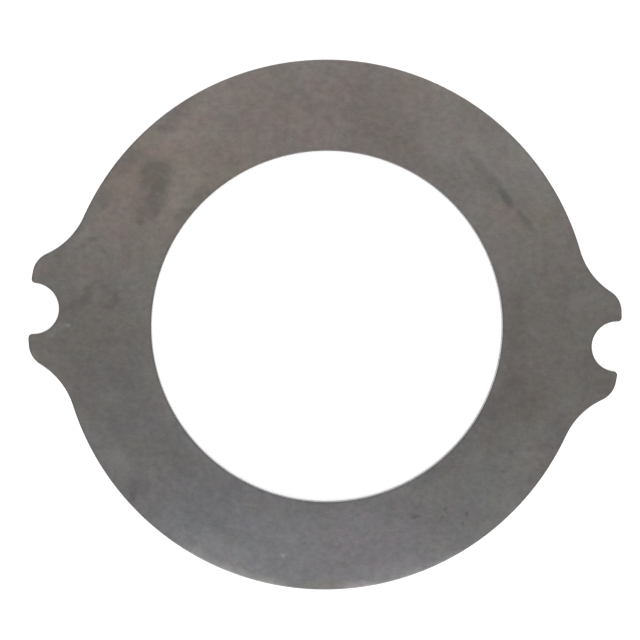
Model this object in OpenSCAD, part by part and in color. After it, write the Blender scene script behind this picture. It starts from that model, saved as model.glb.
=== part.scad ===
// Two-lug spacer washer: a flat steel ring, blanked from plate in one piece. Two lugs stand out from its
// rim on opposite sides, and each has a round notch in its end that sits over a fixed pin, so that the
// ring can slide along two pins but can't turn with the discs that run on either side of it.
// The underside lies on z = 0, the ring's axis is the Z axis, and the lugs point along X.
// The outline is nothing but arcs that run tangent into each other, so it is drawn from their centres.

/* [Ring] */
// Diameter of the round opening in the middle
bore_d = 132.6; // [100:0.1:170]
// Width of the ring, from the opening to the rim
ring_w = 33.7; // [24:0.1:48]
// Thickness of the plate
plate_t = 3; // [2:0.1:6]

/* [Lugs] */
// How far the lugs stand out beyond the rim
lug_h = 12; // [8:0.1:15]
// Steel on each side of a notch, from the notch to the lug's flank
lug_wall = 12.25; // [8:0.05:18]
// Radius of the two corners of a lug
corner_r = 9; // [3:0.1:11]
// Radius of the fillet that carries a lug's flank into the rim
root_r = 28; // [15:0.5:45]

/* [Notches] */
// Diameter of the round notch in the end of a lug
notch_d = 19; // [12:0.1:26]
// How far beyond the rim a notch has its centre
notch_h = 10.25; // [8:0.05:13]
// Radius that rounds the two lips of a notch
lip_r = 1.5; // [1:0.1:2.5]

/* [Edges] */
// How far in from its edges blanking has rolled the upper side down
roll_w = 0.5; // [0.2:0.05:0.7]
// How far in from its edges the lower side is deburred
deburr_w = 0.25; // [0.1:0.05:0.5]

/* [Hidden] */

$fn = 180;
bore_r = bore_d / 2;
ring_r = bore_r + ring_w;
tip_r = ring_r + lug_h;
lug_w = notch_d + 2 * lug_wall;
notch_r = notch_d / 2;
notch_c = [ring_r + notch_h, 0];

// A corner is rounded only as far as the steel beside the notch leaves room for it, with this much of
// the lug's end left flat between the corner and the lip.
tip_land = 0.5;
corner = min(corner_r, lug_wall - lip_r - tip_land);

// Centre of a lug's corner: its arc touches the tip circle from inside, and the lug is widest there.
corner_a = asin((lug_w / 2 - corner) / (tip_r - corner));
corner_c = polar(tip_r - corner, corner_a);

// Centre of a root fillet: its arc touches the rim and the corner from outside.
root_a = corner_a + angle_between(tip_r - corner, ring_r + root_r, corner + root_r);
root_c = polar(ring_r + root_r, root_a);
flank_a = bearing(corner_c, root_c);

// Centre of a notch's lip: its arc touches the tip circle from inside and the notch from outside.
lip_a = angle_between(notch_c[0], tip_r - lip_r, notch_r + lip_r);
lip_c = polar(tip_r - lip_r, lip_a);
mouth_a = bearing(notch_c, lip_c);

// An edge is rounded over no more than these shares of a lip's radius and of the plate's thickness.
lip_share = 0.6;
plate_share = 0.3;
edge_room = min(lip_share * lip_r, plate_share * plate_t);
roll = min(roll_w, edge_room);
deburr = min(deburr_w, edge_room);
// A rolled edge is flatter than a quarter round: its radius is this many times its width.
roll_flatness = 1.5;
// How a rounded edge ends at its joins with the next ones: how far past the join its cut goes, and how
// much shallower it is. Every other edge stops short and its neighbours lap over it, so that no two
// cuts just touch.
stops_short = [-0.1, 0];
laps_over = [0.3, 0.01];
no_join = [0, 0];
// How far a cut stands out beyond the steel that it takes away
overcut = 0.5;

// Any point this far out is clear of the whole washer.
clear_r = 1.2 * tip_r;

function polar(r, a) = r * [cos(a), sin(a)];
function bearing(from, to) = atan2(to[1] - from[1], to[0] - from[0]);
function arc_angle(length, r) = length / r * 180 / PI;
// Angle between two sides of a triangle, from the lengths of all three
function angle_between(side_1, side_2, facing) =
    acos((side_1 * side_1 + side_2 * side_2 - facing * facing) / (2 * side_1 * side_2));

// Draws its children for the lug on +X and again for the lug on -X
module each_lug() {
    for (turned = [0, 1])
        mirror([turned, 0, 0])
            children();
}

// Draws its children for +Y and again for -Y
module each_flank() {
    for (turned = [0, 1])
        mirror([0, turned, 0])
            children();
}

// Half of one lug before its notch is cut: a sector of the tip circle, the corner and the root fillet
module half_lug() {
    intersection() {
        circle(tip_r);
        polygon([[0, 0], [clear_r, 0], polar(clear_r, corner_a)]);
    }
    translate(corner_c)
        circle(corner);
    difference() {
        polygon([[0, 0], corner_c, root_c]);
        translate(root_c)
            circle(root_r);
    }
}

// Half of a notch's mouth, beyond the line that joins the centres of the notch and the lip
module half_mouth() {
    difference() {
        polygon([notch_c, lip_c, polar(clear_r, lip_a), [clear_r, 0]]);
        translate(lip_c)
            circle(lip_r);
    }
}

module outline() {
    difference() {
        union() {
            circle(ring_r);
            each_lug()
                each_flank()
                    half_lug();
        }
        circle(bore_r);
        each_lug() {
            translate(notch_c)
                circle(notch_r);
            each_flank()
                half_mouth();
        }
    }
}

// Section of what rounding to width w takes off a square corner at the origin, with the steel to the
// left and below
module corner_waste(w) {
    r = roll_flatness * w;
    reach = (w + sqrt(2 * r * r - w * w)) / 2;
    translate([-reach, -reach])
        difference() {
            square(reach + overcut);
            circle(r);
        }
}

// Section of what is taken off the upper and the lower edge of the plate
module edge_waste(relief) {
    translate([0, plate_t])
        corner_waste(roll - relief);
    mirror([0, 1])
        corner_waste(deburr - relief);
}

// Waste along the edges of a convex arc of radius r, between two bearings from its centre
module convex_edge(r, from, to, join) {
    past = arc_angle(join[0], r);
    rotate(from - past)
        rotate_extrude(angle = to - from + 2 * past)
            translate([r, 0])
                edge_waste(join[1]);
}

// Waste along the edges of a hollow arc of radius r, between two bearings from its centre
module hollow_edge(r, from, to, join) {
    past = arc_angle(join[0], r);
    rotate(from - past)
        rotate_extrude(angle = to - from + 2 * past)
            translate([r, 0])
                mirror([1, 0])
                    edge_waste(join[1]);
}

// Waste along the edges that stop short of their joins: the rim, the corners and the lips
module rim_corner_and_lip_edges() {
    each_flank()
        convex_edge(ring_r, root_a, 180 - root_a, stops_short);
    each_lug()
        each_flank() {
            translate(corner_c)
                convex_edge(corner, corner_a, flank_a, stops_short);
            translate(lip_c)
                convex_edge(lip_r, mouth_a - 180, lip_a, stops_short);
        }
}

// Waste along the edges that lap over those, and round the opening
module tip_root_and_notch_edges() {
    each_lug() {
        each_flank() {
            convex_edge(tip_r, lip_a, corner_a, laps_over);
            translate(root_c)
                hollow_edge(root_r, root_a - 180, flank_a - 180, laps_over);
        }
        translate(notch_c)
            hollow_edge(notch_r, mouth_a, 360 - mouth_a, laps_over);
    }
    hollow_edge(bore_r, 0, 360, no_join);
}

module spacer_washer() {
    color("#706c68")
        difference() {
            difference() {
                linear_extrude(plate_t)
                    outline();
                rim_corner_and_lip_edges();
            }
            tip_root_and_notch_edges();
        }
}

spacer_washer();
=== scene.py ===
"""Gives a blanked steel spacer washer its looks: its sheared edges, its finish and its studio.

The washer is one piece of rolled steel, 3 mm thick, with a wide opening and two notched lugs. It
lies on its underside at z = 0 with the opening's axis on Z and the lugs along X. Sizes are in
millimetres and become metres only where Blender is told of them.
"""

import logging
import math
from collections.abc import Callable, Iterator
from dataclasses import dataclass
from enum import Enum, IntEnum
from typing import Any, NamedTuple

import bpy
from bpy.types import Material, MeshEdge, Node, NodeSocket, NodeTree, Object
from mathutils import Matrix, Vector


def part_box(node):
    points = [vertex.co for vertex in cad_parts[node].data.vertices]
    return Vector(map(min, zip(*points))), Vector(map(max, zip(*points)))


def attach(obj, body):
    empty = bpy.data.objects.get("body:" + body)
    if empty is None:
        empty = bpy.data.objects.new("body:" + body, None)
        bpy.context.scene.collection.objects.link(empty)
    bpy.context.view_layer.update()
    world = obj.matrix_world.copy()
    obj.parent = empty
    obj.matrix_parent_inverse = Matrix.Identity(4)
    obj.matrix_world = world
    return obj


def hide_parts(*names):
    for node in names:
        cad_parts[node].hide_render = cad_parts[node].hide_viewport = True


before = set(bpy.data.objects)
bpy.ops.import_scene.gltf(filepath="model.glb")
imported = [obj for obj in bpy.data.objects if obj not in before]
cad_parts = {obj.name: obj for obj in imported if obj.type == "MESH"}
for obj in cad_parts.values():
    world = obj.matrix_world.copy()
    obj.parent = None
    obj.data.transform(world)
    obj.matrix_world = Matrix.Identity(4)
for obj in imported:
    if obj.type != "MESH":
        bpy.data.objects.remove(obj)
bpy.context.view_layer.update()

NODE = "spacer_washer"
BODY = "root"
MM = 0.001
LOW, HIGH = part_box(NODE)
# Point attribute that marks the rounded edges for their painted shade.
EDGE_SHADE_MARK = "edge"
# Points that are no further apart than this, in metres, are one point, or lie at one height.
SAME_PLACE = MM / 1000
# How near the mirror planes the outline's ends are closed, in metres.
SEAM = MM / 100
# How much of its normal lies along Z in a face that counts as flat.
FLAT = 0.9
# Level edges that are longer than this many steps of the outline go across the flat sides.
FEW_STEPS = 5
# How deep a film goes down the wall, as a share of the plate's thickness. None goes right through.
FILM_DEPTH = 0.8
# Inputs and outputs of Blender's Mix node, which has some for each kind of value.
SHARE, VALUE_1, VALUE_2, COLOUR_1, COLOUR_2 = 0, 2, 3, 6, 7
MIXED_VALUE, MIXED_COLOUR = 0, 2
# The values between which most of a noise lies.
USUAL_NOISE = (0.3, 0.7)
# How far from the origin every noise is taken, in metres. Noise is fainter in the planes through
# the origin, where the lattices of all its halvings meet, and the plate's underside lies in one.
NOISE_SHIFT = (0.7319, 0.1173, 0.4127)

log = logging.getLogger("washer")


def linear(hex_colour: str) -> tuple[float, float, float, float]:
    """Turns an sRGB hex colour into the linear one that a shader socket takes.

    Args:
        hex_colour: The colour, such as "#706c68".

    Returns:
        Red, green, blue and an alpha of 1.
    """
    parts = [int(hex_colour[i:i + 2], 16) / 255 for i in (1, 3, 5)]
    red, green, blue = (c / 12.92 if c <= 0.04045 else ((c + 0.055) / 1.055) ** 2.4 for c in parts)
    return red, green, blue, 1.0


def polar(radius: float, degrees: float) -> Vector:
    """Gives the point at a radius from the washer's axis and a bearing counterclockwise from +X."""
    turn = math.radians(degrees)
    return Vector((radius * math.cos(turn), radius * math.sin(turn), 0.0))


def bearing(start: Vector, end: Vector) -> float:
    """Gives the bearing from start to end, in degrees counterclockwise from +X."""
    return math.degrees(math.atan2(end.y - start.y, end.x - start.x))


def angle_between(side_1: float, side_2: float, facing: float) -> float:
    """Gives the angle in degrees between two sides of a triangle from the lengths of all three."""
    cosine = (side_1 ** 2 + side_2 ** 2 - facing ** 2) / (2 * side_1 * side_2)
    return math.degrees(math.acos(cosine))


def select_all(action: str) -> None:
    """Selects or deselects the whole mesh that is in edit mode."""
    bpy.ops.mesh.select_all(action=action)


def select_only(piece: Object, kind: str, wanted: Callable[[Any], bool]) -> None:
    """Leaves just the faces or the edges that pass a test selected, in edit mode.

    Args:
        piece: The object that is in edit mode.
        kind: "FACE" or "EDGE".
        wanted: Says of a face or an edge whether it is to be selected.
    """
    bpy.ops.mesh.select_mode(type=kind)
    select_all("DESELECT")
    bpy.ops.object.mode_set(mode="OBJECT")
    for part in piece.data.polygons if kind == "FACE" else piece.data.edges:
        part.select = wanted(part)
    bpy.ops.object.mode_set(mode="EDIT")


def apply_modifier(piece: Object, kind: str, **settings: Any) -> None:
    """Adds a modifier to the active piece and applies it.

    Args:
        piece: The piece, in object mode.
        kind: The modifier's type, such as "MIRROR".
        settings: The modifier's own properties.
    """
    modifier = piece.modifiers.new(kind.title(), kind)
    for name, value in settings.items():
        setattr(modifier, name, value)
    bpy.ops.object.modifier_apply(modifier=modifier.name)


def add_node(
    tree: NodeTree, kind: str, inputs: dict[int | str, Any] | None = None, **settings: Any
) -> Node:
    """Adds a node to a material, with its settings and what its sockets take.

    Args:
        tree: The node tree that it goes into.
        kind: The node's type, such as "ShaderNodeTexNoise".
        inputs: What input sockets take, by name or number: another node's socket, or a plain value.
        settings: The node's own properties.

    Returns:
        The new node.
    """
    node = tree.nodes.new(kind)
    for name, value in settings.items():
        setattr(node, name, value)
    for key, value in (inputs or {}).items():
        if isinstance(value, NodeSocket):
            tree.links.new(value, node.inputs[key])
        else:
            node.inputs[key].default_value = value
    return node


@dataclass(frozen=True)
class Arc:
    """One arc of the plate's outline, tangent to the arcs on either side of it.

    Attributes:
        centre: The arc's centre, in mm.
        radius: Its radius, in mm.
        start: Bearing of its first end from the centre, in degrees.
        end: Bearing of its last end, in degrees.
    """

    centre: Vector
    radius: float
    start: float
    end: float

    def steps(self, longest: float, widest: float) -> int:
        """Says how many steps draw the arc, by the longest in mm and the widest turn in degrees."""
        sweep = abs(self.end - self.start)
        return math.ceil(max(self.radius * math.radians(sweep) / longest, sweep / widest))


class Surface(IntEnum):
    """The plate's surfaces, by the material slot that each of them has."""

    FACE = 0
    LAND = 1
    TORN = 2


@dataclass
class Plate:
    """The washer: a flat steel plate blanked in one stroke, with the edges that a press leaves.

    The stroke rolls the upper edge over, burnishes a land below it, and tears the rest of the wall,
    which stands back a little and is uneven. The lower edge is deburred. All sizes are in mm.

    Attributes:
        bore_r: Radius of the round opening.
        lug_h: How far the lugs stand out beyond the rim.
        lug_wall: Steel on each side of a notch, from the notch to the lug's flank.
        corner_r: Radius of a lug's two corners.
        root_r: Radius of the fillet that carries a lug's flank into the rim.
        notch_r: Radius of the notch in the end of a lug.
        notch_h: How far beyond the rim a notch has its centre.
        lip_r: Radius that rounds the two lips of a notch.
        roll_w: Width and height of the rolled upper edge.
        land_h: Height of the burnished land below it.
        land_wave: Size of the waves in the land's lower end.
        land_wander: How far those waves go, from the highest to the lowest.
        torn_inset: How far the torn wall stands back from the land.
        torn_taper: How far it then leans in, down to the lower edge.
        torn_grit: Size of its pits.
        torn_bite: Depth of its pits.
        deburr_w: Width and height of the deburred lower edge.
        margin_w: Width of the strip round the flat sides where the edges' painted shade dies out.
        longest_step: The longest step that draws the outline.
        widest_turn: The widest turn at each step, in degrees.
        roll_steps: How many steps draw the rolled edge.
        torn_steps: How many steps go down the torn wall.
        deburr_steps: How many steps draw the deburred edge.
        face_spans: How many spans the flat sides have between the outline and the opening.
        smoothed: The widest turn between two faces that is shaded smooth, in degrees.
    """

    bore_r: float = 66.3
    lug_h: float = 12.0
    lug_wall: float = 12.25
    corner_r: float = 9.0
    root_r: float = 28.0
    notch_r: float = 9.5
    notch_h: float = 10.25
    lip_r: float = 1.5
    roll_w: float = 0.5
    land_h: float = 0.9
    land_wave: float = 2.6
    land_wander: float = 0.5
    torn_inset: float = 0.06
    torn_taper: float = 0.03
    torn_grit: float = 0.9
    torn_bite: float = 0.05
    deburr_w: float = 0.25
    margin_w: float = 0.4
    longest_step: float = 1.0
    widest_turn: float = 6.0
    roll_steps: int = 6
    torn_steps: int = 5
    deburr_steps: int = 4
    face_spans: int = 12
    smoothed: float = 30.0

    def __post_init__(self) -> None:
        """Takes the rim's radius and the plate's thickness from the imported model."""
        self.rim_r: float = HIGH.y / MM
        self.plate_t: float = (HIGH.z - LOW.z) / MM
        self.floor_z: float = LOW.z / MM

    def quarter(self) -> Iterator[Arc]:
        """Gives the arcs of the outline from the bottom of the notch on +X round to the rim on +Y.

        Returns:
            The arcs in order, each starting where the one before it ends.
        """
        tip_r = self.rim_r + self.lug_h
        half_lug = self.notch_r + self.lug_wall
        axis = Vector((0.0, 0.0, 0.0))
        notch = Vector((self.rim_r + self.notch_h, 0.0, 0.0))
        lip_a = angle_between(notch.x, tip_r - self.lip_r, self.notch_r + self.lip_r)
        lip = polar(tip_r - self.lip_r, lip_a)
        mouth_a = bearing(notch, lip)
        corner_a = math.degrees(math.asin((half_lug - self.corner_r) / (tip_r - self.corner_r)))
        corner = polar(tip_r - self.corner_r, corner_a)
        root_a = corner_a + angle_between(
            tip_r - self.corner_r, self.rim_r + self.root_r, self.corner_r + self.root_r
        )
        root = polar(self.rim_r + self.root_r, root_a)
        flank_a = bearing(corner, root)
        yield Arc(notch, self.notch_r, 180.0, mouth_a)
        yield Arc(lip, self.lip_r, mouth_a - 180.0, lip_a)
        yield Arc(axis, tip_r, lip_a, corner_a)
        yield Arc(corner, self.corner_r, corner_a, flank_a)
        yield Arc(root, self.root_r, flank_a - 180.0, root_a - 180.0)
        yield Arc(axis, self.rim_r, root_a, 90.0)

    def draw_outline(self) -> Object:
        """Draws the outline and the opening as two loops of edges, where the land ends.

        Returns:
            The new object, in edit mode.
        """
        height = (self.floor_z + self.plate_t - self.roll_w - self.land_h) * MM
        start = Vector((self.rim_r + self.notch_h - self.notch_r, 0.0, 0.0)) * MM
        bpy.ops.object.select_all(action="DESELECT")
        bpy.ops.mesh.primitive_plane_add(size=MM, location=(0.0, 0.0, 0.0))
        piece = bpy.context.active_object
        piece.name = "washer_plate"
        bpy.ops.object.mode_set(mode="EDIT")
        select_all("SELECT")
        bpy.ops.mesh.merge(type="CENTER")
        bpy.ops.transform.translate(value=(start.x, start.y, height))
        steps = 0
        for arc in self.quarter():
            count = arc.steps(self.longest_step, self.widest_turn)
            # Spin turns clockwise for a positive angle.
            bpy.ops.mesh.spin(
                steps=count,
                angle=math.radians(arc.start - arc.end),
                center=arc.centre * MM,
                axis=(0.0, 0.0, 1.0),
            )
            steps += count
        bpy.ops.object.mode_set(mode="OBJECT")
        apply_modifier(piece, "MIRROR", use_axis=(True, True, False), merge_threshold=SEAM)
        bpy.ops.object.mode_set(mode="EDIT")
        select_all("DESELECT")
        bpy.ops.mesh.primitive_circle_add(
            vertices=4 * steps, radius=self.bore_r * MM, location=(0.0, 0.0, height)
        )
        return piece

    def inset_all_round(self, profile: list[tuple[float, float]]) -> None:
        """Insets the selected faces step by step, each so far in and so far outwards, in mm."""
        for inwards, outwards in profile:
            bpy.ops.mesh.inset(thickness=inwards * MM, depth=outwards * MM, use_even_offset=True)

    def round_over(self, width: float, steps: int) -> list[tuple[float, float]]:
        """Gives the steps of a quarter round that leaves the wall upright and meets the face flat.

        Args:
            width: The quarter round's width and height, in mm.
            steps: How many steps draw it.

        Returns:
            How far in and how far out each step goes, in mm.
        """
        turns = [math.radians(90 * i / steps) for i in range(steps + 1)]
        return [
            (width * (math.cos(a) - math.cos(b)), width * (math.sin(b) - math.sin(a)))
            for a, b in zip(turns, turns[1:])
        ]

    def raise_upper_side(self, piece: Object) -> None:
        """Raises the land off the flat ring, rolls its edges over and leaves a margin inside them.

        Args:
            piece: The plate, in edit mode, with both loops of edges drawn.
        """
        select_all("SELECT")
        bpy.ops.mesh.bridge_edge_loops()
        select_all("SELECT")
        rise = (0.0, 0.0, self.land_h * MM)
        bpy.ops.mesh.extrude_region_move(TRANSFORM_OT_translate={"value": rise})
        select_all("SELECT")
        bpy.ops.mesh.normals_make_consistent(inside=False)
        select_only(piece, "FACE", lambda face: face.normal.z > FLAT)
        self.inset_all_round(self.round_over(self.roll_w, self.roll_steps))
        self.inset_all_round([(self.margin_w, 0.0)])

    def lower_underside(self, piece: Object) -> None:
        """Takes the torn wall down from the land, sets it back a little and deburrs the lower edge.

        Args:
            piece: The plate, in edit mode, with its upper side raised.
        """
        torn_h = self.plate_t - self.roll_w - self.land_h - self.torn_inset - self.deburr_w
        select_only(piece, "FACE", lambda face: face.normal.z < -FLAT)
        self.inset_all_round([(self.torn_inset, self.torn_inset)])
        torn_step = (self.torn_taper / self.torn_steps, torn_h / self.torn_steps)
        self.inset_all_round([torn_step] * self.torn_steps)
        self.inset_all_round(self.round_over(self.deburr_w, self.deburr_steps))
        self.inset_all_round([(self.margin_w, 0.0)])

    def goes_across(self, piece: Object, edge: MeshEdge) -> bool:
        """Says whether an edge goes from the outline to the opening across a flat side.

        Args:
            piece: The plate.
            edge: One of its edges.

        Returns:
            Whether it does.
        """
        start, end = (piece.data.vertices[i].co for i in edge.vertices)
        level = abs(start.z - end.z) < SAME_PLACE
        return level and (start - end).length > FEW_STEPS * self.longest_step * MM

    def span_faces(self, piece: Object) -> None:
        """Splits the long faces between the outline and the opening into even spans."""
        select_only(piece, "EDGE", lambda edge: self.goes_across(piece, edge))
        bpy.ops.mesh.subdivide(number_cuts=self.face_spans - 1)

    def mark_edge_shade(self, piece: Object) -> None:
        """Marks the points of the wall and its rounded edges, where the edges get painted shade.

        The mark dies out over the margins of the two flat sides.

        Args:
            piece: The plate, in object mode, before its wall is torn.
        """
        low, high = LOW.z + SAME_PLACE, HIGH.z - SAME_PLACE
        in_wall = [low < point.co.z < high for point in piece.data.vertices]
        marked = list(in_wall)
        for edge in piece.data.edges:
            start, end = edge.vertices
            if in_wall[start] != in_wall[end]:
                marked[start] = marked[end] = True
        mark = piece.data.attributes.new(EDGE_SHADE_MARK, "FLOAT", "POINT")
        mark.data.foreach_set("value", [float(on) for on in marked])

    def tear_wall(self, piece: Object) -> None:
        """Makes the torn wall uneven, always inwards, and lets the land's lower end wander.

        Args:
            piece: The plate, in object mode.
        """
        land_end = (self.floor_z + self.plate_t - self.roll_w - self.land_h) * MM
        torn_end = (self.floor_z + self.deburr_w) * MM
        inset = self.torn_inset * MM
        slack = inset / 2
        # Applying a modifier makes the groups anew, so after it only their names still hold.
        wander_name, torn_name = "land_end", "torn_wall"
        wander = piece.vertex_groups.new(name=wander_name)
        torn = piece.vertex_groups.new(name=torn_name)
        for point in piece.data.vertices:
            if land_end - inset - slack < point.co.z < land_end + slack:
                wander.add([point.index], 1.0, "REPLACE")
            if torn_end + slack < point.co.z < land_end - slack:
                torn.add([point.index], 1.0, "REPLACE")
        waves = bpy.data.textures.new("land_waves", "CLOUDS")
        waves.noise_scale = self.land_wave * MM
        grit = bpy.data.textures.new("torn_grit", "CLOUDS")
        grit.noise_scale = self.torn_grit * MM
        apply_modifier(
            piece,
            "DISPLACE",
            texture=waves,
            direction="Z",
            vertex_group=wander_name,
            strength=self.land_wander * MM,
        )
        apply_modifier(
            piece,
            "DISPLACE",
            texture=grit,
            vertex_group=torn_name,
            strength=-self.torn_bite * MM,
            mid_level=0.0,
        )
        piece.vertex_groups.clear()

    def build(self, face_steel: Material, land_steel: Material, torn_steel: Material) -> Object:
        """Models the plate and dresses its faces and its wall.

        Args:
            face_steel: Finish of both sides and of the rolled and deburred edges.
            land_steel: Finish of the upper part of the wall, which the punch cut.
            torn_steel: Finish of the lower part, where the plate tore.

        Returns:
            The finished plate.
        """
        piece = self.draw_outline()
        self.raise_upper_side(piece)
        self.lower_underside(piece)
        self.span_faces(piece)
        select_all("SELECT")
        bpy.ops.mesh.remove_doubles(threshold=SAME_PLACE)
        bpy.ops.mesh.normals_make_consistent(inside=False)
        bpy.ops.object.mode_set(mode="OBJECT")
        steels = {Surface.FACE: face_steel, Surface.LAND: land_steel, Surface.TORN: torn_steel}
        for surface in Surface:
            piece.data.materials.append(steels[surface])
        land_top = self.floor_z + self.plate_t - self.roll_w
        land_end = land_top - self.land_h
        for face in piece.data.polygons:
            height = face.center.z / MM
            if land_end < height < land_top:
                face.material_index = Surface.LAND
            elif self.floor_z + self.deburr_w < height < land_end:
                face.material_index = Surface.TORN
        self.mark_edge_shade(piece)
        self.tear_wall(piece)
        bpy.ops.object.shade_smooth_by_angle(angle=math.radians(self.smoothed))
        return piece


class Ground(NamedTuple):
    """What a pattern is drawn on.

    Attributes:
        tree: The material's node tree.
        place: Where each point of the surface is.
    """

    tree: NodeTree
    place: NodeSocket


class Coat(NamedTuple):
    """What the surface looks like so far, as sockets.

    Attributes:
        colour: Its colour.
        roughness: Its roughness.
    """

    colour: NodeSocket
    roughness: NodeSocket


@dataclass(frozen=True)
class Grain:
    """A random pattern whose spots have a real size.

    Attributes:
        spot: Size of its largest spots along X, Y and Z, in mm.
        halvings: How many halvings of that size it also holds.
        keep: How strong each halving is against the one before it.
    """

    spot: tuple[float, float, float]
    halvings: float
    keep: float

    def spread(self, ground: Ground) -> Node:
        """Spreads the pattern over the surface.

        Args:
            ground: What it is drawn on.

        Returns:
            The noise node, with one value and three more as a colour at each point, all about 0.5.
        """
        density = [1 / (side * MM) for side in self.spot]
        shift = [count * away for count, away in zip(density, NOISE_SHIFT)]
        sizing = {0: ground.place, 1: density, 2: shift}
        sized = add_node(ground.tree, "ShaderNodeVectorMath", sizing, operation="MULTIPLY_ADD")
        pattern = {
            "Vector": sized.outputs[0],
            "Scale": 1.0,
            "Detail": self.halvings,
            "Roughness": self.keep,
        }
        return add_node(ground.tree, "ShaderNodeTexNoise", pattern)


@dataclass(frozen=True)
class Shade:
    """A pattern that carries a colour's tone up and down.

    Attributes:
        grain: The pattern.
        span: The two of its values between which the tone goes from one end to the other.
        tones: What the colour is multiplied by at the two ends.
    """

    grain: Grain
    span: tuple[float, float]
    tones: tuple[float, float]

    def cast(self, ground: Ground) -> NodeSocket:
        """Casts the shade over the surface.

        Args:
            ground: What it is drawn on.

        Returns:
            What the colour is multiplied by.
        """
        span = {
            "Value": self.grain.spread(ground).outputs["Fac"],
            "From Min": self.span[0],
            "From Max": self.span[1],
            "To Min": self.tones[0],
            "To Max": self.tones[1],
        }
        return add_node(ground.tree, "ShaderNodeMapRange", span).outputs[0]


class Film(Enum):
    """What lies on the rolled steel or shows through it, by its colour and its roughness."""

    BROWN_OXIDE = ("#786c63", 0.52)
    ROSE_OXIDE = ("#7f6d69", 0.5)
    MAUVE_OXIDE = ("#706b6f", 0.5)
    OLIVE_OIL = ("#605c58", 0.46)
    STRAW_OIL = ("#807e68", 0.42)
    GREY_OIL = ("#686963", 0.46)
    BLUE_STEEL = ("#696a6e", 0.48)
    # Also the colour of the painted highlight along the lower rim.
    PALE_STEEL = ("#949391", 0.4)
    DARK_OIL = ("#4a4a48", 0.38)
    DARK_OXIDE = ("#4f4847", 0.5)
    # A bluish dark stain, whose colour is also that of the painted shade round the edges.
    SOIL = ("#46444c", 0.55)
    PIT = ("#2d2a28", 0.6)
    BARE_STEEL = ("#c8c7c4", 0.34)


class Side(Enum):
    """The side of the plate that marks lie on, as a share of its thickness from the floor."""

    UPPER = 1.0
    LOWER = 0.0


@dataclass(frozen=True)
class Mark:
    """A soft-edged film on the plate, in the form of an ellipse.

    Attributes:
        film: What the mark is of.
        place: Its middle, in mm.
        reach: Half its length and half its width, in mm.
        turn: Bearing of its length, in whole degrees.
        strength: How much of the film shows at its middle, from 0 to 1.
        core: Share of its reach that is full film, from 0 to 1.
    """

    film: Film
    place: tuple[float, float]
    reach: tuple[float, float]
    turn: int
    strength: float
    core: float = 0.0


@dataclass(frozen=True)
class Layer:
    """Marks of about one size on one side of the plate, whose outlines wander alike.

    Attributes:
        ripple: Size of the waves in the outlines, in mm.
        wander: How far the outlines wander to either side, in mm.
        marks: The marks, the lowest first.
        side: The side of the plate that they lie on.
    """

    ripple: float
    wander: float
    marks: tuple[Mark, ...]
    side: Side = Side.UPPER

    def waves(self) -> Grain:
        """Gives the waves that the outlines go in, down to an eighth of the largest."""
        return Grain((self.ripple,) * 3, halvings=3.0, keep=0.6)


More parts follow.
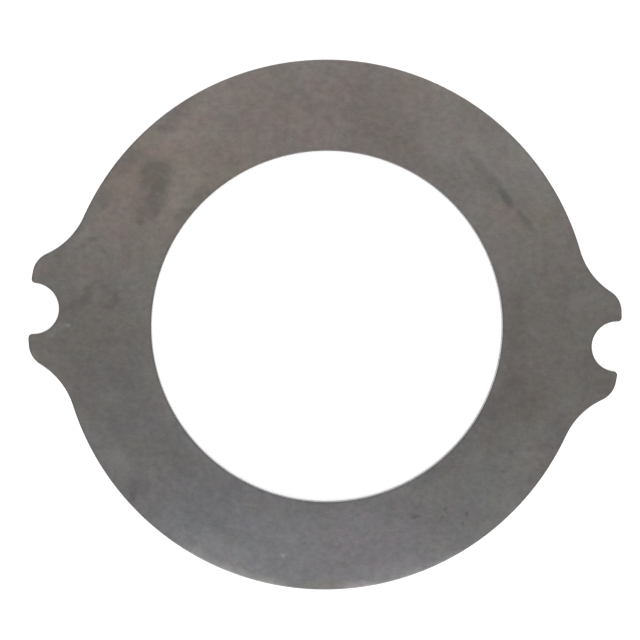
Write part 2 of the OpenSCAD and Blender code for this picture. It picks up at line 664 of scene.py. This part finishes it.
WIDE_FILMS = Layer(ripple=16.0, wander=6.0, marks=(
    Mark(Film.BLUE_STEEL, (-14.0, -92.0), (125.0, 62.0), 0, 0.7, 0.3),
    Mark(Film.BROWN_OXIDE, (-58.0, 58.0), (58.0, 38.0), 45, 0.72, 0.1),
    Mark(Film.ROSE_OXIDE, (6.0, 82.0), (72.0, 34.0), -4, 0.3, 0.2),
    Mark(Film.OLIVE_OIL, (84.0, 0.0), (60.0, 36.0), 90, 0.54),
    Mark(Film.OLIVE_OIL, (-88.0, -12.0), (46.0, 38.0), 80, 0.58),
    Mark(Film.DARK_OXIDE, (-76.0, -38.0), (34.0, 24.0), 110, 0.26),
    Mark(Film.DARK_OXIDE, (-60.0, -58.0), (36.0, 24.0), 130, 0.3),
    Mark(Film.DARK_OXIDE, (66.0, -34.0), (40.0, 20.0), 70, 0.36),
    Mark(Film.DARK_OXIDE, (54.0, -62.0), (38.0, 24.0), 40, 0.26),
    Mark(Film.GREY_OIL, (66.0, -54.0), (40.0, 26.0), 45, 0.38, 0.1),
    Mark(Film.DARK_OXIDE, (28.0, 66.0), (34.0, 16.0), -20, 0.22),
    Mark(Film.PALE_STEEL, (72.0, 66.0), (26.0, 14.0), -45, 0.16),
    Mark(Film.PALE_STEEL, (-60.0, 72.0), (34.0, 16.0), 42, 0.2),
    Mark(Film.PALE_STEEL, (-90.0, 32.0), (18.0, 10.0), 70, 0.14),
    Mark(Film.DARK_OXIDE, (-74.0, -64.0), (26.0, 14.0), -42, 0.26),
    Mark(Film.DARK_OXIDE, (0.0, -66.0), (66.0, 16.0), 0, 0.22),
    Mark(Film.MAUVE_OXIDE, (22.0, -84.0), (40.0, 24.0), 10, 0.5),
    Mark(Film.BLUE_STEEL, (-38.0, -72.0), (44.0, 28.0), -25, 0.4),
    Mark(Film.DARK_OXIDE, (2.0, 82.0), (52.0, 26.0), 0, 0.12),
    Mark(Film.SOIL, (-60.0, -38.0), (34.0, 14.0), 122, 0.2),
    Mark(Film.DARK_OXIDE, (-36.0, -64.0), (26.0, 14.0), 150, 0.16),
    Mark(Film.SOIL, (92.0, -34.0), (20.0, 12.0), 70, 0.24),
    Mark(Film.SOIL, (54.0, -42.0), (22.0, 9.0), 55, 0.24),
    Mark(Film.SOIL, (66.0, -24.0), (18.0, 9.0), 70, 0.22),
    Mark(Film.BLUE_STEEL, (62.0, -58.0), (42.0, 24.0), 42, 0.35),
    Mark(Film.BLUE_STEEL, (-76.0, -36.0), (36.0, 24.0), 115, 0.32),
    Mark(Film.MAUVE_OXIDE, (-42.0, 72.0), (22.0, 16.0), 30, 0.24),
    Mark(Film.ROSE_OXIDE, (74.0, 42.0), (44.0, 22.0), -60, 0.14),
    Mark(Film.PALE_STEEL, (-57.0, 52.0), (26.0, 16.0), 50, 0.2),
    Mark(Film.PALE_STEEL, (-78.0, 44.0), (18.0, 10.0), 60, 0.12),
    Mark(Film.ROSE_OXIDE, (-79.0, 44.0), (18.0, 10.0), 60, 0.3),
    Mark(Film.DARK_OXIDE, (-104.0, 18.0), (18.0, 12.0), 60, 0.16),
    Mark(Film.PALE_STEEL, (-36.0, -86.0), (26.0, 9.0), -24, 0.12),
    Mark(Film.PALE_STEEL, (42.0, 72.0), (26.0, 16.0), -30, 0.1),
    Mark(Film.PALE_STEEL, (34.0, -92.0), (40.0, 10.0), 20, 0.1),
    Mark(Film.DARK_OXIDE, (103.0, -12.0), (20.0, 14.0), 100, 0.24, 0.1),
    Mark(Film.GREY_OIL, (18.0, 84.0), (32.0, 18.0), -8, 0.2),
))

STAINS = Layer(ripple=2.8, wander=0.85, marks=(
    Mark(Film.ROSE_OXIDE, (-66.8, 62.6), (10.0, 3.4), 14, 0.4, 0.2),
    Mark(Film.ROSE_OXIDE, (-75.6, 55.0), (6.5, 3.2), 42, 0.35, 0.2),
    Mark(Film.ROSE_OXIDE, (-55.0, 69.4), (13.0, 7.0), 40, 0.34),
    Mark(Film.PALE_STEEL, (-50.2, 68.8), (9.0, 5.0), 30, 0.14),
    Mark(Film.ROSE_OXIDE, (-87.0, 33.0), (10.0, 6.6), 70, 0.4),
    Mark(Film.ROSE_OXIDE, (-79.0, 30.6), (10.0, 7.0), 60, 0.22),
    Mark(Film.OLIVE_OIL, (-76.0, 59.0), (7.0, 3.6), 44, 0.2, 0.2),
    Mark(Film.OLIVE_OIL, (-86.5, 42.5), (8.0, 4.2), 62, 0.25, 0.2),
    Mark(Film.DARK_OXIDE, (-60.6, 76.6), (19.0, 5.4), 51, 0.32, 0.1),
    Mark(Film.DARK_OXIDE, (-94.8, 33.0), (9.0, 4.0), 58, 0.26, 0.1),
    Mark(Film.DARK_OXIDE, (-65.4, 70.0), (8.0, 2.2), 0, 0.3),
    Mark(Film.DARK_OIL, (-67.6, 52.8), (8.6, 8.2), 0, 0.32, 0.4),
    Mark(Film.DARK_OIL, (-64.8, 57.0), (3.8, 2.4), 80, 0.14, 0.2),
    Mark(Film.DARK_OIL, (-68.6, 55.0), (5.4, 2.2), 8, 0.12, 0.2),
    Mark(Film.DARK_OXIDE, (-72.6, 41.6), (8.4, 4.2), 86, 0.26, 0.2),
    Mark(Film.DARK_OIL, (-69.6, 44.6), (4.6, 2.8), 80, 0.14, 0.2),
    Mark(Film.DARK_OXIDE, (-72.0, 48.8), (5.0, 2.6), 60, 0.2, 0.2),
    Mark(Film.DARK_OIL, (-71.6, 53.4), (3.6, 2.4), 70, 0.14, 0.2),
    Mark(Film.DARK_OIL, (-66.8, 44.4), (9.5, 5.2), 80, 0.36, 0.3),
    Mark(Film.DARK_OXIDE, (-69.0, 38.4), (6.5, 4.4), 30, 0.22, 0.2),
    Mark(Film.DARK_OXIDE, (-72.6, 34.8), (2.6, 2.2), 0, 0.38, 0.2),
    Mark(Film.DARK_OIL, (-56.0, 39.4), (8.0, 2.8), 40, 0.26, 0.1),
    Mark(Film.DARK_OIL, (-51.2, 46.6), (8.0, 4.0), 42, 0.22, 0.1),
    Mark(Film.DARK_OIL, (-89.9, 27.2), (4.6, 1.6), 12, 0.32),
    Mark(Film.DARK_OIL, (-93.1, 24.4), (4.6, 1.8), 30, 0.32),
    Mark(Film.ROSE_OXIDE, (-84.0, 16.5), (16.0, 6.0), 4, 0.12, 0.2),
    Mark(Film.ROSE_OXIDE, (-104.8, 14.6), (5.0, 3.0), 20, 0.16, 0.2),
    Mark(Film.DARK_OIL, (-90.6, 6.6), (6.8, 2.4), 68, 0.21, 0.3),
    Mark(Film.DARK_OIL, (-94.0, 2.8), (7.0, 3.4), 30, 0.19, 0.2),
    Mark(Film.DARK_OIL, (-83.2, 8.6), (4.4, 1.9), -28, 0.26, 0.2),
    Mark(Film.DARK_OIL, (-80.0, 5.4), (4.2, 2.1), 86, 0.27, 0.2),
    Mark(Film.DARK_OIL, (-82.0, 2.6), (4.2, 1.8), 18, 0.25, 0.2),
    Mark(Film.PALE_STEEL, (-102.6, -8.4), (6.0, 4.0), 40, 0.26, 0.1),
    Mark(Film.BLUE_STEEL, (-51.6, -42.0), (16.0, 7.0), 128, 0.5),
    Mark(Film.BLUE_STEEL, (-84.6, -51.0), (12.0, 6.0), 120, 0.5),
    Mark(Film.BLUE_STEEL, (41.0, -53.4), (15.0, 6.0), 40, 0.5),
    Mark(Film.DARK_OXIDE, (43.0, -52.8), (10.0, 5.0), 40, 0.22, 0.1),
    Mark(Film.DARK_OXIDE, (-75.0, -39.6), (10.0, 8.0), 20, 0.22),
    Mark(Film.SOIL, (80.2, -57.2), (11.0, 5.0), 54, 0.2),
    Mark(Film.PALE_STEEL, (-75.6, -55.8), (11.0, 7.0), -50, 0.2),
    Mark(Film.DARK_OXIDE, (-36.4, -78.0), (13.0, 6.4), -24, 0.22),
    Mark(Film.SOIL, (-67.6, -64.6), (6.4, 5.2), 0, 0.22, 0.3),
    Mark(Film.SOIL, (-69.4, -68.6), (5.4, 2.0), 70, 0.34, 0.2),
    Mark(Film.OLIVE_OIL, (79.0, 49.0), (12.0, 11.0), 0, 0.16, 0.2),
    Mark(Film.STRAW_OIL, (79.0, 49.0), (11.0, 10.0), 0, 0.14, 0.2),
    Mark(Film.ROSE_OXIDE, (64.0, 46.6), (12.0, 7.0), -32, 0.22, 0.1),
    Mark(Film.PALE_STEEL, (36.0, 68.6), (12.0, 7.0), -28, 0.2),
    Mark(Film.PALE_STEEL, (95.6, 16.6), (8.4, 6.0), 40, 0.2),
    Mark(Film.DARK_OIL, (57.2, 56.0), (8.0, 4.0), -45, 0.18),
    Mark(Film.DARK_OIL, (52.4, 64.4), (11.0, 2.8), -42, 0.2, 0.2),
    Mark(Film.DARK_OIL, (60.8, 56.0), (12.0, 3.4), -46, 0.22, 0.2),
    Mark(Film.DARK_OIL, (63.6, 53.4), (6.2, 2.2), -50, 0.34, 0.3),
    Mark(Film.DARK_OIL, (71.8, 45.2), (9.0, 2.0), -46, 0.28, 0.2),
    Mark(Film.DARK_OIL, (71.4, 15.0), (5.2, 3.0), 80, 0.16, 0.2),
    Mark(Film.DARK_OXIDE, (71.0, -2.0), (34.0, 8.0), 88, 0.2, 0.1),
    Mark(Film.DARK_OXIDE, (80.0, -24.0), (22.0, 9.0), 40, 0.14, 0.1),
    Mark(Film.DARK_OXIDE, (84.0, -40.2), (12.0, 2.2), 8, 0.2, 0.2),
    Mark(Film.DARK_OXIDE, (85.6, -48.4), (12.0, 6.0), 60, 0.28),
    Mark(Film.DARK_OXIDE, (100.8, -3.0), (11.0, 4.6), 92, 0.16, 0.1),
    Mark(Film.DARK_OIL, (107.6, 10.4), (8.0, 6.0), 80, 0.2, 0.1),
    Mark(Film.DARK_OIL, (107.4, -14.6), (8.0, 6.0), 100, 0.16, 0.1),
    Mark(Film.STRAW_OIL, (5.0, -98.0), (15.0, 4.0), 3, 0.22, 0.1),
))

# Pale marks along the lower rim: a painted highlight where the rim faces the light.
PAINTED_RIM_HIGHLIGHT = Layer(ripple=1.1, wander=1.1, marks=(
    Mark(Film.PALE_STEEL, (-43.8, -88.6), (12.0, 3.0), -26, 0.34),
    Mark(Film.PALE_STEEL, (-31.2, -94.0), (13.0, 3.4), -18, 0.42),
    Mark(Film.PALE_STEEL, (-16.4, -97.8), (12.0, 3.0), -9, 0.42),
    Mark(Film.PALE_STEEL, (16.4, -97.6), (8.6, 3.4), 8, 0.42),
    Mark(Film.PALE_STEEL, (22.4, -97.0), (11.0, 3.2), 13, 0.42),
    Mark(Film.PALE_STEEL, (36.6, -92.6), (12.0, 3.4), 21, 0.42),
    Mark(Film.PALE_STEEL, (50.6, -86.0), (12.0, 2.6), 30, 0.3),
))

PITS = Layer(ripple=0.9, wander=0.35, marks=(
    Mark(Film.PIT, (38.0, -69.8), (3.0, 1.2), 18, 0.29, 0.2),
    Mark(Film.PIT, (49.2, -66.1), (1.4, 1.6), 0, 0.26, 0.1),
    Mark(Film.PIT, (48.3, -69.3), (1.2, 1.3), 0, 0.26, 0.1),
    Mark(Film.PIT, (57.7, -67.5), (1.3, 1.7), 0, 0.34, 0.1),
    Mark(Film.PIT, (56.5, -71.1), (1.1, 1.3), 0, 0.28, 0.1),
    Mark(Film.PIT, (72.8, -42.8), (2.2, 1.4), 20, 0.17, 0.1),
    Mark(Film.PIT, (70.4, -50.4), (2.4, 1.1), 10, 0.16, 0.2),
    Mark(Film.DARK_OXIDE, (-84.4, 22.0), (5.6, 1.3), -52, 0.22, 0.2),
    Mark(Film.BARE_STEEL, (-97.0, -5.3), (1.7, 1.3), 0, 0.14, 0.1),
    Mark(Film.BARE_STEEL, (-11.2, -87.7), (1.4, 1.3), 0, 0.12, 0.1),
    Mark(Film.BARE_STEEL, (-20.4, -92.5), (1.2, 1.4), 0, 0.06, 0.1),
    Mark(Film.BARE_STEEL, (20.2, -79.0), (1.3, 1.1), 0, 0.05, 0.1),
    Mark(Film.BARE_STEEL, (27.1, -90.6), (1.2, 1.2), 0, 0.06, 0.1),
))

HIDDEN_FILMS = Layer(ripple=9.0, wander=5.0, side=Side.LOWER, marks=(
    Mark(Film.OLIVE_OIL, (-78.0, 20.0), (46.0, 30.0), 60, 0.7),
    Mark(Film.BROWN_OXIDE, (20.0, 84.0), (66.0, 28.0), -8, 0.7),
    Mark(Film.BLUE_STEEL, (70.0, -50.0), (48.0, 30.0), 40, 0.8),
    Mark(Film.MAUVE_OXIDE, (-40.0, -76.0), (44.0, 24.0), -20, 0.7),
    Mark(Film.DARK_OIL, (86.0, 10.0), (16.0, 7.0), 70, 0.3),
    Mark(Film.DARK_OIL, (-30.0, 78.0), (18.0, 8.0), 20, 0.24),
))


# Broad clouds in the steel's tone, as wide as a thumb.
CLOUDS = Shade(Grain((26.0, 26.0, 26.0), 4.0, 0.7), (0.25, 0.75), (0.89, 1.11))
# Handling and oil leave a mottling of 2 to 3 mm, drawn out a little the way the strip was rolled.
MOTTLING = Shade(Grain((2.76, 2.4, 2.4), 3.0, 0.75), (0.25, 0.75), (0.855, 1.145))
# The rolls leave marks a few hundredths of a millimetre wide. They are drawn as short dashes of
# half a millimetre, which is as coarse as they need to be to show from where the camera stands.
ROLL_MARKS = Shade(Grain((2.2, 0.55, 0.55), 3.0, 0.6), (0.55, 0.7), (1.0, 0.9))


def start_metal(name: str) -> tuple[Material, Node, Ground]:
    """Starts a metal, before it has a colour or a roughness.

    Args:
        name: What the material is called.

    Returns:
        The material, its shader, and what its patterns are drawn on.
    """
    material = bpy.data.materials.new(name)
    material.use_nodes = True
    tree = material.node_tree
    shader = tree.nodes["Principled BSDF"]
    shader.inputs["Metallic"].default_value = 1.0
    return material, shader, Ground(tree, add_node(tree, "ShaderNodeTexCoord").outputs["Object"])


@dataclass(frozen=True)
class RolledSteel:
    """Cold-rolled carbon steel strip, used in oil.

    The rolls leave a fine short grain and a satin sheen. Work in hot oil has since left it dull and
    dark grey, with thin brown, olive and blue-grey films that have soft edges. A painted highlight
    lies along the lower rim, and a thin line of painted shade round the rounded edges.

    Attributes:
        warm: The steel's colour where it leans to brown.
        cool: Its colour where it leans to grey-green.
        tint: The patches in which it leans one way or the other.
        roughness: Its roughness where no film lies.
        swing: How far its roughness goes up and down from patch to patch.
        shades: What carries its tone up and down.
        iris: The patches of faint colour that thin oil leaves.
        iris_tone: How far those patches carry each primary colour up and down, as a share.
        edge_shade: How strongly the painted shade darkens the rounded edges, from 0 to 1.
        relief: Height of the clouds, the mottling and the roll marks, in mm.
        films: The films and stains on it, the lowest layer first.
        wear_and_highlight: A painted highlight on the lower rim, then wear and pits, lowest first.
    """

    warm: str = "#78726e"
    cool: str = "#71716e"
    tint: Grain = Grain((11.0, 11.0, 11.0), 3.0, 0.8)
    roughness: float = 0.48
    swing: float = 0.04
    shades: tuple[Shade, ...] = (CLOUDS, MOTTLING, ROLL_MARKS)
    iris: Grain = Grain((7.0, 7.0, 7.0), 4.0, 0.65)
    iris_tone: float = 0.09
    edge_shade: float = 0.24
    relief: float = 0.02
    films: tuple[Layer, ...] = (WIDE_FILMS, HIDDEN_FILMS, STAINS)
    wear_and_highlight: tuple[Layer, ...] = (PAINTED_RIM_HIGHLIGHT, PITS)

    def build(self) -> Material:
        """Makes the material.

        Returns:
            The finished material.
        """
        material, shader, ground = start_metal("cold_rolled_steel_used_in_oil")
        tree = ground.tree
        tone = self.tone(ground)
        coat = self.bare(ground)
        for layer in self.films:
            coat = self.lay_layer(ground, layer, coat)
        # Painted shade: a thin dark line round the rounded edges.
        coat = self.paint_edge_shade(ground, coat)
        for layer in self.wear_and_highlight:
            coat = self.lay_layer(ground, layer, coat)
        tints = {0: coat.colour, 1: self.iridescence(ground)}
        tinted = add_node(tree, "ShaderNodeVectorMath", tints, operation="MULTIPLY")
        tones = {0: tinted.outputs[0], "Scale": tone}
        shaded = add_node(tree, "ShaderNodeVectorMath", tones, operation="SCALE")
        relief = {"Height": tone, "Strength": 1.0, "Distance": self.relief * MM}
        bumps = add_node(tree, "ShaderNodeBump", relief)
        tree.links.new(shaded.outputs[0], shader.inputs["Base Color"])
        tree.links.new(coat.roughness, shader.inputs["Roughness"])
        tree.links.new(bumps.outputs[0], shader.inputs["Normal"])
        return material

    def bare(self, ground: Ground) -> Coat:
        """Adds the steel itself, a little warmer here and cooler there.

        Args:
            ground: What it is drawn on.

        Returns:
            The steel's look.
        """
        tint = self.tint.spread(ground).outputs["Fac"]
        colours = {SHARE: tint, COLOUR_1: linear(self.warm), COLOUR_2: linear(self.cool)}
        colour = add_node(ground.tree, "ShaderNodeMix", colours, data_type="RGBA")
        span = {
            "Value": tint,
            "From Min": USUAL_NOISE[0],
            "From Max": USUAL_NOISE[1],
            "To Min": self.roughness - self.swing,
            "To Max": self.roughness + self.swing,
        }
        roughness = add_node(ground.tree, "ShaderNodeMapRange", span)
        return Coat(colour.outputs[MIXED_COLOUR], roughness.outputs[0])

    def tone(self, ground: Ground) -> NodeSocket:
        """Casts all the shades over each other.

        Args:
            ground: What they are drawn on.

        Returns:
            What the colour is multiplied by, about 1.
        """
        tone, *others = (shade.cast(ground) for shade in self.shades)
        for other in others:
            both = {0: tone, 1: other}
            tone = add_node(ground.tree, "ShaderNodeMath", both, operation="MULTIPLY").outputs[0]
        return tone

    def iridescence(self, ground: Ground) -> NodeSocket:
        """Adds the faint patches of colour that thin oil leaves.

        Args:
            ground: What they are drawn on.

        Returns:
            What each primary colour is multiplied by, about 1.
        """
        patches = self.iris.spread(ground).outputs["Color"]
        span = {0: patches, 1: (2 * self.iris_tone,) * 3, 2: (1 - self.iris_tone,) * 3}
        return add_node(
            ground.tree, "ShaderNodeVectorMath", span, operation="MULTIPLY_ADD"
        ).outputs[0]

    def lay_layer(self, ground: Ground, layer: Layer, under: Coat) -> Coat:
        """Lays one layer of marks over the surface so far.

        Args:
            ground: What they are drawn on.
            layer: The marks.
            under: The surface under them.

        Returns:
            The surface with the marks on it.
        """
        wandering = self.wander(ground, layer)
        for mark in layer.marks:
            cover = self.cover(wandering, mark, layer.side)
            under = self.lay_film(ground, mark.film, cover, under)
        return under

    def paint_edge_shade(self, ground: Ground, under: Coat) -> Coat:
        """Lays a thin dark line of painted shade round the edges, where they turn from the light.

        Args:
            ground: What it is drawn on.
            under: The surface under it.

        Returns:
            The surface with the soil on it.
        """
        # Painted shade in a dark bluish colour, wherever the edges are marked.
        edge = add_node(ground.tree, "ShaderNodeAttribute", attribute_name=EDGE_SHADE_MARK)
        share = {0: edge.outputs["Fac"], 1: self.edge_shade}
        cover = add_node(ground.tree, "ShaderNodeMath", share, operation="MULTIPLY")
        return self.lay_film(ground, Film.SOIL, cover.outputs[0], under)

    def wander(self, ground: Ground, layer: Layer) -> Ground:
        """Lets the places wander, so that the marks drawn on them have uneven outlines.

        Args:
            ground: What the marks are drawn on.
            layer: The marks.

        Returns:
            The same with wandering places.
        """
        ripples = layer.waves().spread(ground).outputs["Color"]
        swing = 2 * layer.wander * MM
        sway = {0: ripples, 1: (swing, swing, 0.0), 2: (-swing / 2, -swing / 2, 0.0)}
        moved = add_node(ground.tree, "ShaderNodeVectorMath", sway, operation="MULTIPLY_ADD")
        both = {0: moved.outputs[0], 1: ground.place}
        wandered = add_node(ground.tree, "ShaderNodeVectorMath", both, operation="ADD")
        return Ground(ground.tree, wandered.outputs[0])

    def cover(self, ground: Ground, mark: Mark, side: Side) -> NodeSocket:
        """Adds the soft-edged form of one mark.

        Args:
            ground: What it is drawn on.
            mark: The mark.
            side: The side of the plate that it lies on.

        Returns:
            How much of the mark's film shows, from 0 to 1.
        """
        thickness = HIGH.z - LOW.z
        middle = (mark.place[0] * MM, mark.place[1] * MM, LOW.z + side.value * thickness)
        form = {
            "Vector": ground.place,
            "Location": middle,
            "Rotation": (0.0, 0.0, math.radians(mark.turn)),
            "Scale": (mark.reach[0] * MM, mark.reach[1] * MM, FILM_DEPTH * thickness),
        }
        fit = add_node(ground.tree, "ShaderNodeMapping", form, vector_type="TEXTURE")
        spot = {"Vector": fit.outputs[0]}
        ball = add_node(ground.tree, "ShaderNodeTexGradient", spot, gradient_type="SPHERICAL")
        span = {"Value": ball.outputs["Fac"], "From Max": 1 - mark.core, "To Max": mark.strength}
        return add_node(
            ground.tree, "ShaderNodeMapRange", span, interpolation_type="SMOOTHSTEP"
        ).outputs[0]

    def lay_film(self, ground: Ground, film: Film, cover: NodeSocket, under: Coat) -> Coat:
        """Lays one film over the surface so far.

        Args:
            ground: What it is drawn on.
            film: What the film is of.
            cover: How much of it shows, from 0 to 1.
            under: The surface under it.

        Returns:
            The surface with the film on it.
        """
        colour, roughness = film.value
        colours = {SHARE: cover, COLOUR_1: under.colour, COLOUR_2: linear(colour)}
        laid = add_node(ground.tree, "ShaderNodeMix", colours, data_type="RGBA")
        finishes = {SHARE: cover, VALUE_1: under.roughness, VALUE_2: roughness}
        smoothed = add_node(ground.tree, "ShaderNodeMix", finishes, data_type="FLOAT")
        return Coat(laid.outputs[MIXED_COLOUR], smoothed.outputs[MIXED_VALUE])


@dataclass(frozen=True)
class ShearedSteel:
    """Steel that a press has cut, with grain that runs the way the punch went.

    Attributes:
        name: What the material is called.
        steel: Its colour.
        roughness: Its roughness.
        shade: The grain that carries its tone up and down.
        relief: Height of the grain, in mm.
    """

    name: str
    steel: str
    roughness: float
    shade: Shade
    relief: float

    def build(self) -> Material:
        """Makes the material.

        Returns:
            The finished material.
        """
        material, shader, ground = start_metal(self.name)
        tree = ground.tree
        tone = self.shade.cast(ground)
        tones = {0: linear(self.steel)[:3], "Scale": tone}
        toned = add_node(tree, "ShaderNodeVectorMath", tones, operation="SCALE")
        relief = {"Height": tone, "Strength": 1.0, "Distance": self.relief * MM}
        bumps = add_node(tree, "ShaderNodeBump", relief)
        tree.links.new(toned.outputs[0], shader.inputs["Base Color"])
        tree.links.new(bumps.outputs[0], shader.inputs["Normal"])
        shader.inputs["Roughness"].default_value = self.roughness
        return material


# The punch rubs the upper part of the wall smooth, so it shines brighter than the faces, in fine
# upright lines. They are finer than this in the steel, and drawn 0.3 mm wide so that they show.
BURNISHED = ShearedSteel(
    "burnished_sheared_steel",
    "#bcbcbd",
    0.3,
    Shade(Grain((0.3, 0.3, 4.0), 2.0, 0.6), USUAL_NOISE, (0.7, 1.2)),
    0.02,
)
# Below it the steel tears away from the rest of the strip, and is left duller and grainy.
TORN = ShearedSteel(
    "torn_sheared_steel",
    "#989798",
    0.5,
    Shade(Grain((0.4, 0.4, 0.6), 2.0, 0.6), USUAL_NOISE, (0.6, 1.35)),
    0.06,
)


@dataclass(frozen=True)
class Panel:
    """A soft light panel that faces the washer.

    Attributes:
        name: What the panel is called.
        at: Its middle, in mm.
        size: Its width and its height, in mm.
        power: Its power, in watts.
        colour: Its colour.
    """

    name: str
    at: tuple[float, float, float]
    size: tuple[float, float]
    power: float
    colour: str = "#ffffff"

    def hang(self) -> Object:
        """Hangs the panel in its place, turned to the middle of the washer.

        Returns:
            The light.
        """
        data = bpy.data.lights.new(self.name, "AREA")
        data.shape = "RECTANGLE"
        data.size, data.size_y = (side * MM for side in self.size)
        data.energy = self.power
        data.color = linear(self.colour)[:3]
        light = bpy.data.objects.new(self.name, data)
        light.location = Vector(self.at) * MM
        light.rotation_euler = light.location.to_track_quat("Z", "Y").to_euler()
        bpy.context.scene.collection.objects.link(light)
        return light


@dataclass
class Studio:
    """A plain pale floor, soft light and the camera straight above, as the photograph has them.

    The camera's lens and place come from the photographed outline, and the photograph stands turned
    a little, so the camera does too.

    Attributes:
        floor_size: Length of the floor's sides, in mm.
        floor_gap: How far below the plate the floor lies, in mm.
        floor_colour: The floor's colour.
        floor_roughness: The floor's roughness.
        floor_shine: How strongly the floor mirrors, against an ordinary 0.5.
        floor_glow: How strongly the floor is lit from below.
        sky_colour: The colour of the light from all round.
        sky_strength: Its strength.
        panels: The light panels.
        lens: The camera's focal length, in mm.
        camera_at: Where the camera stands, in mm.
        camera_turn: How far it is turned about X, Y and Z, in degrees.
        nearest: How near the camera still sees, in mm.
    """

    floor_size: float = 40000.0
    floor_gap: float = 0.02
    floor_colour: str = "#fafafa"
    floor_roughness: float = 0.9
    floor_shine: float = 0.2
    floor_glow: float = 0.2
    sky_colour: str = "#ffffff"
    sky_strength: float = 0.78
    panels: tuple[Panel, ...] = (
        Panel("front_panel", (0.0, -800.0, 750.0), (1400.0, 500.0), 6.9),
        Panel("back_panel", (0.0, 800.0, 750.0), (1400.0, 500.0), 5.7),
    )
    lens: float = 59.75
    camera_at: tuple[float, float, float] = (-19.032, 20.501, 401.923)
    camera_turn: tuple[float, float, float] = (-2.699, -2.094, 3.847)
    nearest: float = 10.0

    def lay_floor(self) -> Object:
        """Lays the pale floor just under the plate.

        Returns:
            The floor.
        """
        bpy.ops.object.select_all(action="DESELECT")
        height = LOW.z - self.floor_gap * MM
        bpy.ops.mesh.primitive_plane_add(size=self.floor_size * MM, location=(0.0, 0.0, height))
        floor = bpy.context.active_object
        floor.name = "studio_floor"
        # A matt sheet lit from above and, faintly, from below: an even white with hardly a shadow.
        material = bpy.data.materials.new("matt_white_sheet_on_light_table")
        material.use_nodes = True
        shader = material.node_tree.nodes["Principled BSDF"]
        finish = {
            "Base Color": linear(self.floor_colour),
            "Roughness": self.floor_roughness,
            "Specular IOR Level": self.floor_shine,
            "Emission Color": linear(self.floor_colour),
            "Emission Strength": self.floor_glow,
        }
        for name, value in finish.items():
            shader.inputs[name].default_value = value
        floor.data.materials.append(material)
        return floor

    def light(self) -> None:
        """Lights the plate with a pale sky and soft panels."""
        world = bpy.data.worlds.new("pale_sky")
        world.use_nodes = True
        sky = world.node_tree.nodes["Background"]
        sky.inputs["Color"].default_value = linear(self.sky_colour)
        sky.inputs["Strength"].default_value = self.sky_strength
        bpy.context.scene.world = world
        for panel in self.panels:
            panel.hang()

    def place_camera(self) -> Object:
        """Puts the camera where the photograph was taken from.

        Returns:
            The camera.
        """
        data = bpy.data.cameras.new("photo_camera")
        data.lens = self.lens
        data.clip_start = self.nearest * MM
        # It sees past the floor's far corners from wherever it is moved to.
        data.clip_end = 2 * self.floor_size * MM
        camera = bpy.data.objects.new("photo_camera", data)
        camera.location = Vector(self.camera_at) * MM
        camera.rotation_euler = [math.radians(a) for a in self.camera_turn]
        bpy.context.scene.collection.objects.link(camera)
        bpy.context.scene.camera = camera
        return camera


def main() -> None:
    """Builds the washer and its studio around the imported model."""
    logging.basicConfig(level=logging.INFO, format="%(name)s: %(message)s")
    studio = Studio()
    studio.place_camera()
    studio.lay_floor()
    studio.light()
    bpy.context.scene.view_settings.view_transform = "Standard"
    plate = Plate().build(RolledSteel().build(), BURNISHED.build(), TORN.build())
    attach(plate, BODY)
    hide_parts(NODE)
    mesh = plate.data
    log.info("%s: %d points, %d faces", plate.name, len(mesh.vertices), len(mesh.polygons))


if __name__ == "__main__":
    main()
